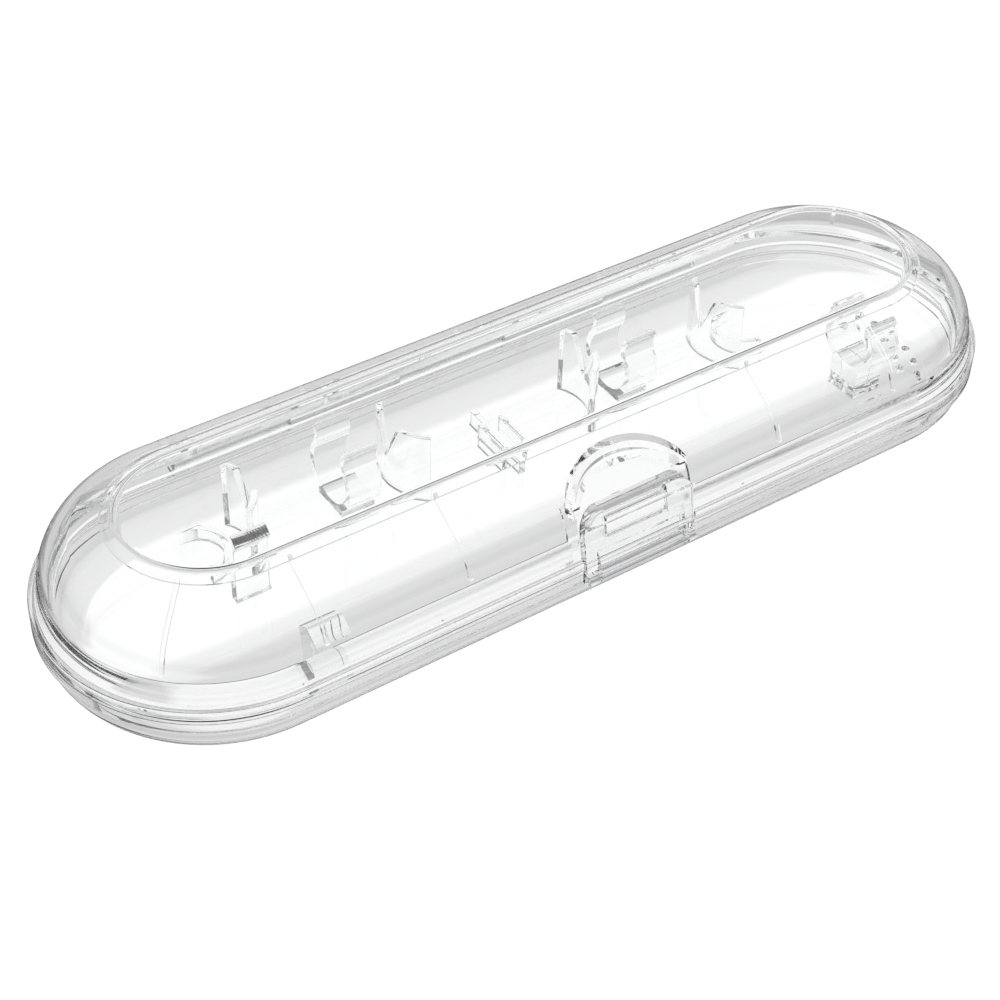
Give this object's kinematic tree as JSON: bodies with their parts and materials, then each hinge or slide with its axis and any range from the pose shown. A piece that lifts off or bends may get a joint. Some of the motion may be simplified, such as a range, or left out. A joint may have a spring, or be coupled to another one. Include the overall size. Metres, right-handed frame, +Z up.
{
  "type": "toothbrush travel case",
  "caption": "Clear hinged travel case with rounded ends, a front snap flap and moulded clips for an electric toothbrush and spare brush heads.",
  "frame": {"origin": "middle of the flat underside of the base", "axes": "+X along the case towards the end with the drain holes, +Y towards the hinge, -Y towards the latch flap, +Z up through the lid"},
  "size_m": [0.215, 0.0747, 0.0345],
  "materials": {
    "clear_plastic": "clear, polished",
    "hinge_pin": "drawn wire"
  },
  "bodies": {
    "base": {"base_shell": "clear_plastic", "lid_hinge_pin": "hinge_pin", "latch_pin": "hinge_pin", "handle_neck_clip": "clear_plastic", "handle_back_clip": "clear_plastic", "handle_front_clip": "clear_plastic", "centre_divider": "clear_plastic", "head_clip_left": "clear_plastic", "head_cradle_left": "clear_plastic", "foot_cradle_left": "clear_plastic", "head_rest_left": "clear_plastic", "foot_stop_left": "clear_plastic", "head_clip_right": "clear_plastic", "head_cradle_right": "clear_plastic", "foot_cradle_right": "clear_plastic", "head_rest_right": "clear_plastic", "foot_stop_right": "clear_plastic"},
    "lid": {"lid_shell": "clear_plastic"},
    "latch": {"latch_flap": "clear_plastic"}
  },
  "joints": [
    {"name": "lid_hinge", "type": "hinge", "parent": "base", "child": "lid", "pos_m": [0, 0.0365, 0.0127], "axis": [-1, 0, 0], "range_deg": [0, 180]},
    {"name": "latch_hinge", "type": "hinge", "parent": "base", "child": "latch", "pos_m": [0, -0.0349, 0.0112], "axis": [1, 0, 0], "range_deg": [0, 110]}
  ]
}
